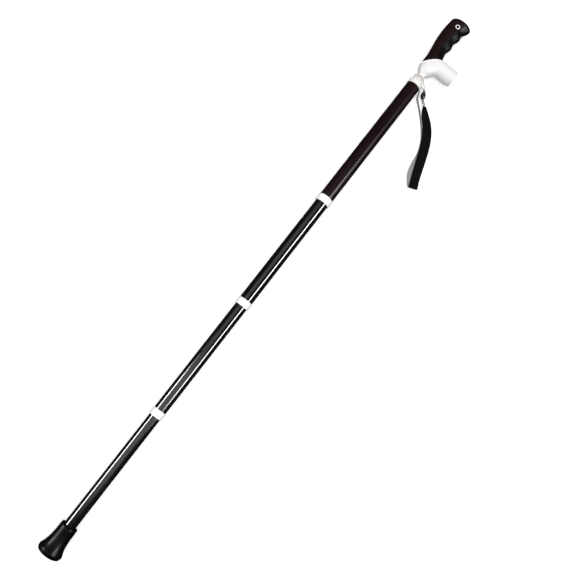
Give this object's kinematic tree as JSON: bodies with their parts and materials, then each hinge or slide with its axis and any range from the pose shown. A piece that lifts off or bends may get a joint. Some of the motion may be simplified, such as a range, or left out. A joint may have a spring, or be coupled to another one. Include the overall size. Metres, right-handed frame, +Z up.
{
  "type": "telescopic walking stick",
  "caption": "Collapsible walking stick: nested black tubes with white twist collars, bell-shaped rubber foot, wrist strap and a white handle whose oval grip swivels from in-line to a T.",
  "frame": {"origin": "centre of the foot's ground face, on the shaft's axis", "axes": "+X along the shaft from the foot to the handle, -Y towards the snout of the handle, +Z up as the stick lies"},
  "size_m": [0.9826, 0.119, 0.036],
  "materials": {
    "tube_black": "glossy black anodised tube",
    "white_plastic": "glossy white moulding",
    "foot_rubber": "glossy black moulded rubber",
    "grip_plastic": "satin brownish black moulding",
    "grip_rubber": "soft black rubber",
    "core_plastic": "dark grey nylon",
    "bearing_plastic": "natural acetal",
    "steel": "zinc plated steel",
    "cord_fibre": "braided dark cord",
    "webbing_fibre": "woven black webbing",
    "bead_plastic": "glossy black moulding",
    "crimp_metal": "pale nickel brass"
  },
  "bodies": {
    "handle": {"handle_body": "white_plastic", "snout_cap": "white_plastic", "top_collar": "white_plastic", "neck_plug": "core_plastic", "neck_bolt": "steel", "upper_tube": "tube_black", "liner_1": "bearing_plastic", "collet_1": "bearing_plastic", "spring_washers": "steel", "detent_ball": "steel", "detent_spring": "steel", "strap_cord": "cord_fibre", "strap_crimp": "crimp_metal", "strap_bead": "bead_plastic", "strap_sleeve": "crimp_metal", "strap_webbing": "webbing_fibre"},
    "lock_collar_1": {"collar_1": "white_plastic"},
    "lock_collar_2": {"collar_2": "white_plastic"},
    "lock_collar_3": {"collar_3": "white_plastic"},
    "guide_1": {"guide_bush_1": "bearing_plastic"},
    "guide_2": {"guide_bush_2": "bearing_plastic"},
    "guide_3": {"guide_bush_3": "bearing_plastic"},
    "second": {"second_tube": "tube_black", "stop_plug_1": "core_plastic", "liner_2": "bearing_plastic", "collet_2": "bearing_plastic"},
    "third": {"third_tube": "tube_black", "stop_plug_2": "core_plastic", "liner_3": "bearing_plastic", "collet_3": "bearing_plastic"},
    "lower": {"lower_tube": "tube_black", "stop_plug_3": "core_plastic", "tip_plug": "core_plastic", "foot_washer": "steel", "foot_ferrule": "foot_rubber"},
    "grip": {"swivel_ring": "white_plastic", "pivot_bolt": "steel", "pivot_nut": "steel", "grip_core": "core_plastic", "grip_shell": "grip_plastic", "finger_pad": "grip_rubber", "grip_inlay": "white_plastic", "grip_piping": "grip_rubber", "grip_end_cap": "white_plastic", "end_cap_disc": "white_plastic"}
  },
  "joints": [
    {"name": "slide_1", "type": "slide", "parent": "handle", "child": "guide_1", "axis": [1, 0, 0], "range_m": [0, 0.1825]},
    {"name": "spin_1", "type": "hinge", "parent": "guide_1", "child": "second", "pos_m": [0.5, 0, 0], "axis": [1, 0, 0], "continuous": true},
    {"name": "slide_2", "type": "slide", "parent": "second", "child": "guide_2", "axis": [1, 0, 0], "range_m": [0, 0.1825]},
    {"name": "spin_2", "type": "hinge", "parent": "guide_2", "child": "third", "pos_m": [0.5, 0, 0], "axis": [1, 0, 0], "continuous": true},
    {"name": "slide_3", "type": "slide", "parent": "third", "child": "guide_3", "axis": [1, 0, 0], "range_m": [0, 0.179]},
    {"name": "spin_3", "type": "hinge", "parent": "guide_3", "child": "lower", "pos_m": [0.5, 0, 0], "axis": [1, 0, 0], "continuous": true},
    {"name": "collar_twist_1", "type": "hinge", "parent": "handle", "child": "lock_collar_1", "pos_m": [0.6135, 0, 0], "axis": [1, 0, 0], "range_deg": [0, 90]},
    {"name": "collar_twist_2", "type": "hinge", "parent": "second", "child": "lock_collar_2", "pos_m": [0.4195, 0, 0], "axis": [1, 0, 0], "range_deg": [0, 90]},
    {"name": "collar_twist_3", "type": "hinge", "parent": "third", "child": "lock_collar_3", "pos_m": [0.2255, 0, 0], "axis": [1, 0, 0], "range_deg": [0, 90]},
    {"name": "grip_swivel", "type": "hinge", "parent": "handle", "child": "grip", "pos_m": [0.898, 0, 0], "axis": [-0.7071, -0.7071, 0], "range_deg": [0, 180]}
  ]
}
